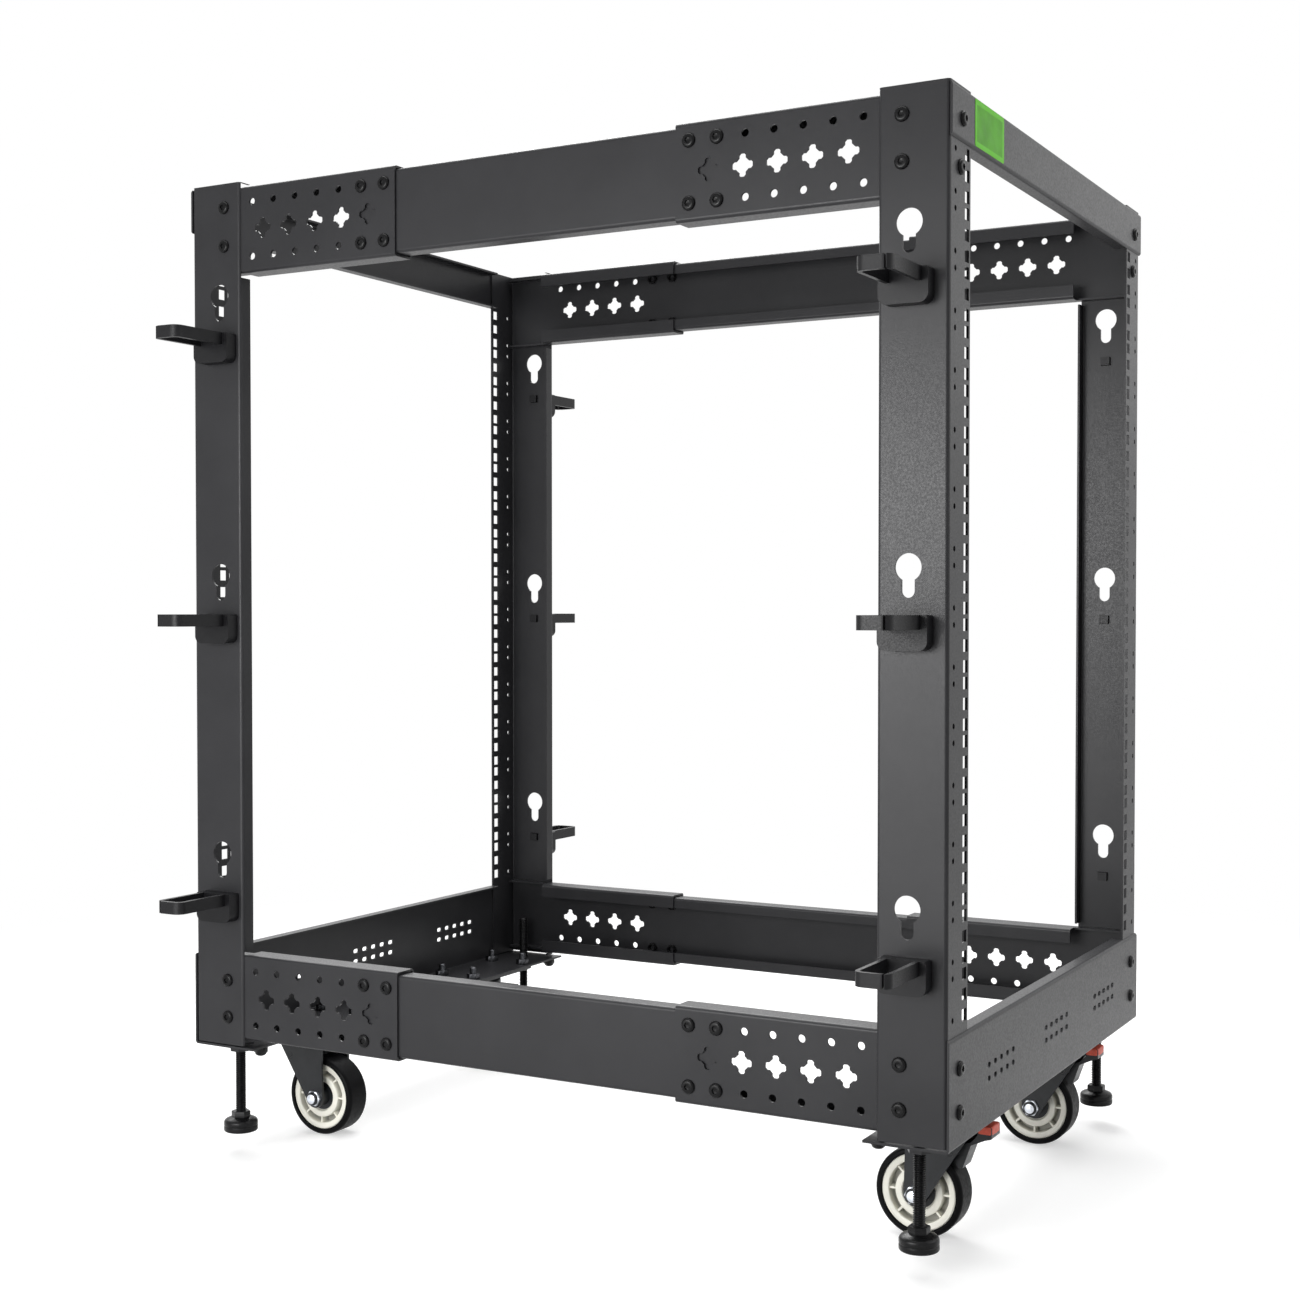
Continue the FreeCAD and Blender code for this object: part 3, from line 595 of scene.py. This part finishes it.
def pillow(low, high, power, rows=25, columns=48):
    """Rounded box between two corners: a superellipsoid, whose cosines and sines are raised to a power.
    The smaller the power, the squarer the box."""
    middle = (np.asarray(low) + np.asarray(high)) / 2
    half = (np.asarray(high) - np.asarray(low)) / 2

    def bend(value):
        return np.sign(value) * np.abs(value) ** power

    rise = np.linspace(-np.pi / 2, np.pi / 2, rows)[:, None]
    turn = around(columns)[None, :]
    points = np.stack([
        middle[0] + half[0] * bend(np.cos(rise)) * bend(np.cos(turn)),
        middle[1] + half[1] * bend(np.cos(rise)) * bend(np.sin(turn)),
        middle[2] + half[2] * bend(np.sin(rise)) * np.ones_like(turn)], -1)
    return points.reshape(-1, 3), grid_faces(rows, columns)


# One operator for each group of pieces

class RACK_OT_sheets(bpy.types.Operator):
    """Gives posts, crossbars, brackets and rails their powder coat"""

    bl_idname = "rack.sheets"
    bl_label = "Sheet finish"

    def execute(self, context):
        dress(("post_", "top_crossbar", "bottom_crossbar", "top_bracket", "bottom_bracket",
               "top_centre_rail", "bottom_centre_rail"), powder_coated_sheet(context.scene.rack_colours))
        return {"FINISHED"}


class RACK_OT_cable_rings(bpy.types.Operator):
    """Gives the cable rings their moulded plastic"""

    bl_idname = "rack.cable_rings"
    bl_label = "Cable rings"

    def execute(self, context):
        dress(("cable_rings",), moulded_ring_plastic(context.scene.rack_colours))
        return {"FINISHED"}


class RACK_OT_casters(bpy.types.Operator):
    """Gives plates, forks, pedals and tyres their finishes"""

    bl_idname = "rack.casters"
    bl_label = "Caster finish"

    def execute(self, context):
        colours = context.scene.rack_colours
        dress(("caster_plate", "caster_fork", "caster_pedal"), painted_fork_steel(colours))
        dress(("caster_tyre",), cast_tyre_rubber(colours))
        return {"FINISHED"}


class RACK_OT_post_bolts(bpy.types.Operator):
    """Adds the domed bolts in the post webs and on the post flanges"""

    bl_idname = "rack.post_bolts"
    bl_label = "Post bolts"

    def execute(self, context):
        material = blackened_bolt_steel(context.scene.rack_colours)
        places = [place for level in WEB_BOLT_LEVELS for place in mirrored(0.0, WEB_BOLT_BACK, level)]
        outward = sideways(places)
        flange = mirrored(FLANGE_BOLT_IN, 0.0, FLANGE_BOLT_LEVEL)
        places += flange
        outward += [(0.0, math.copysign(1.0, y), 0.0) for x, y, z in flange]
        head = socket_head(context.scene.rack_sizes)
        make_piece("post_bolts", copies(head, places, outward), material, "frame")
        return {"FINISHED"}


class RACK_OT_crossbar_bolts(bpy.types.Operator):
    """Adds the domed bolts on the faces of the crossbars"""

    bl_idname = "rack.crossbar_bolts"
    bl_label = "Crossbar bolts"

    def execute(self, context):
        head = socket_head(context.scene.rack_sizes)
        material = blackened_bolt_steel(context.scene.rack_colours)
        for end, sign in ENDS.items():
            places = [(side * (WEB_FACE - FLANGE_BOLT_IN), sign * BAR_FACE, level)
                      for side in SIDES.values() for level in BAR_BOLT_LEVELS]
            outward = [(0.0, sign, 0.0)] * len(places)
            node = "crossbar_bolts_" + end
            piece = make_piece("socket_" + node, copies(head, places, outward), material,
                               "frame")
            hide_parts(node)
        return {"FINISHED"}


class RACK_OT_rail_bolts(bpy.types.Operator):
    """Adds the four domed bolts that hold each bracket to its centre rail, and the nuts behind them"""

    bl_idname = "rack.rail_bolts"
    bl_label = "Rail bolts"

    def execute(self, context):
        material = blackened_bolt_steel(context.scene.rack_colours)
        places = [(side * BRACKET_FACE, end * (FLANGE_FACE - back), centre + row)
                  for side in SIDES.values() for end in ENDS.values() for centre in RAIL_CENTRES
                  for back in RAIL_BOLT_BACKS for row in RAIL_BOLT_ROWS]
        outward = sideways(places)
        heads = copies(socket_head(context.scene.rack_sizes), places, outward)
        make_piece("rail_bolts", heads, material, "frame")
        inside = [(x - math.copysign(RAIL_NUT_IN, x), y, z) for x, y, z in places]
        inward = [(-x, 0.0, 0.0) for x, y, z in outward]
        nuts = copies(hexagon_nut(flats=9.6 * MM, tall=4.2 * MM, bore=3.1 * MM), inside, inward)
        make_piece("rail_nuts", nuts, material, "frame")
        return {"FINISHED"}


class RACK_OT_plate_bolts(bpy.types.Operator):
    """Adds the studs and nuts of the caster plates, their heads underneath, and the nuts under the posts"""

    bl_idname = "rack.plate_bolts"
    bl_label = "Plate bolts"

    def execute(self, context):
        sizes = context.scene.rack_sizes
        colours = context.scene.rack_colours
        plates = [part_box("caster_plate_{}_{}".format(end, side)) for end, side in CORNERS]
        places = [(x, y) for low, high in plates
                  for x in (low.x + PLATE_BOLT_IN, high.x - PLATE_BOLT_IN)
                  for y in (low.y + PLATE_BOLT_BACK, high.y - PLATE_BOLT_BACK)]
        above = [(x, y, FLANGE_UNDER + SHEET) for x, y in places]
        below = [(x, y, FLANGE_UNDER - CASTER_PLATE) for x, y in places]
        up = [UP] * len(places)
        nut = hexagon_nut(sizes.nut_flats, tall=6.0 * MM, bore=3.9 * MM)
        thread = stud(radius=4.0 * MM, tall=13.0 * MM, pitch=1.25 * MM)
        make_piece("plate_nuts", joined(copies(nut, above, up), copies(thread, above, up)),
                   dark_stud_plating(colours), "frame")
        post_nuts = mirrored(POST_NUT_IN, POST_NUT_BACK, FLANGE_UNDER)
        cap = domed_nut(flats=11.5 * MM, base=5.0 * MM, tall=8.5 * MM)
        heads = joined(copies(socket_head(sizes), below, [DOWN] * len(places)),
                       copies(cap, post_nuts, [DOWN] * len(post_nuts)))
        make_piece("plate_heads", heads, blackened_bolt_steel(colours), "frame")
        return {"FINISHED"}


class RACK_OT_feet(bpy.types.Operator):
    """Adds the levelling feet with their pads, necks and threaded rods"""

    bl_idname = "rack.feet"
    bl_label = "Levelling feet"

    def execute(self, context):
        rod_radius = 5.0 * MM
        material = blackened_foot_steel(context.scene.rack_colours)
        for end, side in CORNERS:
            node = "levelling_foot_{}_{}".format(end, side)
            low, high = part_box(node)
            points, quads = foot_shape(context.scene.rack_sizes, low.z, high.z, rod_radius)
            centre = np.array([(low.x + high.x) / 2, (low.y + high.y) / 2, low.z])
            piece = make_piece("threaded_foot_{}_{}".format(end, side), (points + centre, quads),
                               material, "foot_{}_{}".format(end, side))
            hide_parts(node)
        return {"FINISHED"}


class RACK_OT_hubs(bpy.types.Operator):
    """Adds the cream hubs with their pockets, and the dark shields of their bearings"""

    bl_idname = "rack.hubs"
    bl_label = "Wheel hubs"

    def execute(self, context):
        colours = context.scene.rack_colours
        half_rim = 12.5
        right, left = (1.0, 0.0, 0.0), (-1.0, 0.0, 0.0)
        for end, side in CORNERS:
            node = "caster_hub_{}_{}".format(end, side)
            body = "wheel_{}_{}".format(end, side)
            low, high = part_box(node)
            centre = (low + high) / 2
            rim = (high.z - low.z) / 2 / MM
            half_boss = (high.x - low.x) / 2 / MM
            hub = copies(hub_shape(context.scene.rack_sizes, rim, half_rim), [tuple(centre)], [right])
            piece = make_piece("pocketed_hub_{}_{}".format(end, side), hub,
                               moulded_hub_plastic(colours, abs(centre.x)), body)
            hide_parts(node)
            profile = np.array([(4.2, 9.3), (13.4, 9.3), (13.4, 10.1), (9.4, 10.4), (8.7, half_boss - 0.5),
                                (8.2, half_boss), (4.2, half_boss)]) * MM
            shield = turned(profile[:, 0], profile[:, 1], columns=48, wrap_rows=True)
            shields = copies(shield, [tuple(centre)] * 2, [right, left])
            make_piece("bearing_shields_{}_{}".format(end, side), shields, painted_fork_steel(colours),
                       body)
        return {"FINISHED"}


class RACK_OT_axle_nuts(bpy.types.Operator):
    """Adds the bright domed nuts at both ends of each axle"""

    bl_idname = "rack.axle_nuts"
    bl_label = "Axle nuts"

    def execute(self, context):
        plated = bright_axle_plating(context.scene.rack_colours)
        cover = 0.8 * MM
        flats = context.scene.rack_sizes.axle_nut_flats + cover
        nut = domed_nut(flats, base=3.4 * MM, tall=7.0 * MM)
        nut_height = 6.0 * MM
        for end, side in CORNERS:
            low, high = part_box("caster_fork_{}_{}".format(end, side))
            hub_low, hub_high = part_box("caster_hub_{}_{}".format(end, side))
            y = (hub_low.y + hub_high.y) / 2
            z = (hub_low.z + hub_high.z) / 2
            places = [(low.x + nut_height, y, z), (high.x - nut_height, y, z)]
            shape = copies(nut, places, [(-1.0, 0.0, 0.0), (1.0, 0.0, 0.0)])
            make_piece("axle_nuts_{}_{}".format(end, side), shape, plated,
                       "fork_{}_{}".format(end, side))
        return {"FINISHED"}


class RACK_OT_pads(bpy.types.Operator):
    """Adds the red pads over the tips of the brake levers"""

    bl_idname = "rack.pads"
    bl_label = "Brake pads"

    def execute(self, context):
        margin = context.scene.rack_sizes.pad_margin
        material = dipped_pad_rubber(context.scene.rack_colours)
        half_width = 10.0 * MM
        covered = 12.0 * MM
        beyond_tip = 0.4 * MM
        deep = 7.2 * MM
        squareness = 0.28
        for end, side in CORNERS:
            low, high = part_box("caster_pedal_{}_{}".format(end, side))
            middle = (low.x + high.x) / 2
            tip = ENDS[end] * max(abs(low.y), abs(high.y))
            far = tip + ENDS[end] * beyond_tip
            near = tip - ENDS[end] * (covered + margin)
            corner_low = (middle - half_width - margin, min(far, near), high.z - deep)
            corner_high = (middle + half_width + margin, max(far, near), high.z + margin)
            pad = pillow(corner_low, corner_high, squareness)
            make_piece("brake_pad_{}_{}".format(end, side), pad, material,
                       "pedal_{}_{}".format(end, side))
        return {"FINISHED"}


class RACK_OT_label(bpy.types.Operator):
    """Adds the plain green label on the front of the top crossbar"""

    bl_idname = "rack.label"
    bl_label = "Label"

    def execute(self, context):
        sizes = context.scene.rack_sizes
        low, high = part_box("top_crossbar_front")
        middle = np.array([LABEL_ALONG, -BAR_FACE - 0.05 * MM, (low.z + high.z) / 2 + 0.3 * MM])
        half = np.array([sizes.label_width / 2, 0.2 * MM, sizes.label_height / 2])
        film = printed_label_film(context.scene.rack_colours, middle, half)
        squareness = 0.06
        shape = pillow(middle - half, middle + half, squareness, rows=33, columns=96)
        make_piece("plain_label", shape, film, "frame")
        return {"FINISHED"}


class RACK_OT_stage(bpy.types.Operator):
    """Adds the pale floor, the soft lights and the camera"""

    bl_idname = "rack.stage"
    bl_label = "Stage"

    def execute(self, context):
        scene = context.scene
        self.add_floor(scene)
        self.add_world(scene)
        for lamp in LAMPS:
            self.add_lamp(scene, *lamp)
        self.add_camera(scene)
        scene.view_settings.view_transform = "Standard"
        return {"FINISHED"}

    def add_floor(self, scene):
        """A wide flat floor, pale to the camera and darker to bounced light. It keeps shadows near the
        rack and goes over to an even white with the distance from the middle."""
        reach = FLOOR_REACH
        corners = [(-reach, -reach, 0.0), (reach, -reach, 0.0), (reach, reach, 0.0), (-reach, reach, 0.0)]
        mesh = bpy.data.meshes.new("floor")
        mesh.from_pydata(corners, [], [(0, 1, 2, 3)])
        floor = bpy.data.objects.new("floor", mesh)
        scene.collection.objects.link(floor)
        material = bpy.data.materials.new("pale_studio_floor")
        material.use_nodes = True
        tree = material.node_tree
        tree.nodes.clear()
        tone = scene.rack_colours.floor
        near = add_node(tree, "ShaderNodeBsdfDiffuse", Color=shade(tone, FLOOR_TONE))
        glow = add_node(tree, "ShaderNodeEmission", Color=tone, Strength=FLOOR_GLOW)
        bright = add_node(tree, "ShaderNodeAddShader", {0: near.outputs[0], 1: glow.outputs[0]})
        backdrop = add_node(tree, "ShaderNodeEmission", Color=WHITE, Strength=1.0)
        place = add_node(tree, "ShaderNodeTexCoord")
        reached = add_node(tree, "ShaderNodeVectorMath", {0: place.outputs["Object"]}, operation="LENGTH")
        faded = add_node(tree, "ShaderNodeMapRange", {"Value": reached.outputs["Value"]},
                         From_Min=FADE_START, From_Max=FADE_END, interpolation_type="SMOOTHSTEP")
        seen = add_node(tree, "ShaderNodeMixShader",
                        {0: faded.outputs["Result"], 1: bright.outputs[0], 2: backdrop.outputs[0]})
        bounced = add_node(tree, "ShaderNodeBsdfDiffuse", Color=shade(tone, FLOOR_BOUNCE))
        mixed = add_node(tree, "ShaderNodeMixShader",
                         {0: self.eye_rays(tree), 1: bounced.outputs[0], 2: seen.outputs[0]})
        add_node(tree, "ShaderNodeOutputMaterial", {"Surface": mixed.outputs[0]})
        mesh.materials.append(material)

    def eye_rays(self, tree):
        """1 for rays from the camera, and for those seen in gloss or through glass."""
        rays = add_node(tree, "ShaderNodeLightPath").outputs
        seen = add_node(tree, "ShaderNodeMath", {0: rays["Is Camera Ray"], 1: rays["Is Glossy Ray"]},
                        operation="MAXIMUM")
        every = add_node(tree, "ShaderNodeMath", {0: seen.outputs[0], 1: rays["Is Transmission Ray"]},
                         operation="MAXIMUM")
        return every.outputs[0]

    def add_world(self, scene):
        """A white backdrop to the eye and a dim even light for everything else."""
        world = bpy.data.worlds.new("studio")
        scene.world = world
        world.use_nodes = True
        tree = world.node_tree
        tree.nodes.clear()
        seen = add_node(tree, "ShaderNodeBackground", Color=WHITE, Strength=1.0)
        light = add_node(tree, "ShaderNodeBackground", Color=WHITE, Strength=WORLD_LIGHT)
        mixed = add_node(tree, "ShaderNodeMixShader",
                         {0: self.eye_rays(tree), 1: light.outputs[0], 2: seen.outputs[0]})
        add_node(tree, "ShaderNodeOutputWorld", {"Surface": mixed.outputs[0]})

    def add_lamp(self, scene, name, place, target, size, power, sheen_only):
        """A soft rectangular lamp at a place, turned to a target. One that is for the sheen only shows in
        glossy faces and adds no light to matt ones."""
        light = bpy.data.lights.new(name, "AREA")
        light.shape = "RECTANGLE"
        light.size, light.size_y = size
        light.energy = power
        lamp = bpy.data.objects.new(name, light)
        lamp.location = place
        lamp.rotation_mode = "QUATERNION"
        lamp.rotation_quaternion = (Vector(target) - Vector(place)).to_track_quat("-Z", "Y")
        lamp.visible_camera = False
        lamp.visible_diffuse = not sheen_only
        scene.collection.objects.link(lamp)

    def add_camera(self, scene):
        """A camera at the photograph's place: turned 60.8 degrees from the front, 1.3 degrees down."""
        level = math.cos(CAMERA_DOWN)
        ahead = Vector((math.sin(CAMERA_TURN) * level, math.cos(CAMERA_TURN) * level, -math.sin(CAMERA_DOWN)))
        data = bpy.data.cameras.new("camera")
        data.sensor_width = SENSOR_WIDTH
        data.lens = SENSOR_WIDTH * FOCAL_PIXELS / FRAME_PIXELS
        camera = bpy.data.objects.new("camera", data)
        camera.location = CAMERA_PLACE
        camera.rotation_mode = "QUATERNION"
        camera.rotation_quaternion = ahead.to_track_quat("-Z", "Y")
        scene.collection.objects.link(camera)
        scene.camera = camera


OPERATORS = (RACK_OT_sheets, RACK_OT_cable_rings, RACK_OT_casters, RACK_OT_post_bolts, RACK_OT_crossbar_bolts,
             RACK_OT_rail_bolts, RACK_OT_plate_bolts, RACK_OT_feet, RACK_OT_hubs, RACK_OT_axle_nuts,
             RACK_OT_pads, RACK_OT_label, RACK_OT_stage)


class RACK_PT_panel(bpy.types.Panel):
    """Lists the pieces of the rack, their sizes and their colours"""

    bl_idname = "RACK_PT_panel"
    bl_label = "Open frame rack"
    bl_space_type = "VIEW_3D"
    bl_region_type = "UI"
    bl_category = "Rack"

    def draw(self, context):
        layout = self.layout
        for operator in OPERATORS:
            layout.operator(operator.bl_idname)
        for group in (context.scene.rack_sizes, context.scene.rack_colours):
            for key in group.__annotations__:
                layout.prop(group, key)


CLASSES = (RackSizes, RackColours) + OPERATORS + (RACK_PT_panel,)


def register():
    """Makes the classes known and gives the scene its two groups of settings."""
    for one in CLASSES:
        bpy.utils.register_class(one)
    bpy.types.Scene.rack_sizes = bpy.props.PointerProperty(type=RackSizes)
    bpy.types.Scene.rack_colours = bpy.props.PointerProperty(type=RackColours)


def unregister():
    """Takes the settings and the classes away again."""
    del bpy.types.Scene.rack_sizes
    del bpy.types.Scene.rack_colours
    for one in reversed(CLASSES):
        bpy.utils.unregister_class(one)


def main():
    """Builds every piece in order."""
    register()
    for operator in OPERATORS:
        family, action = operator.bl_idname.split(".")
        getattr(getattr(bpy.ops, family), action)()


if __name__ == "__main__":
    main()
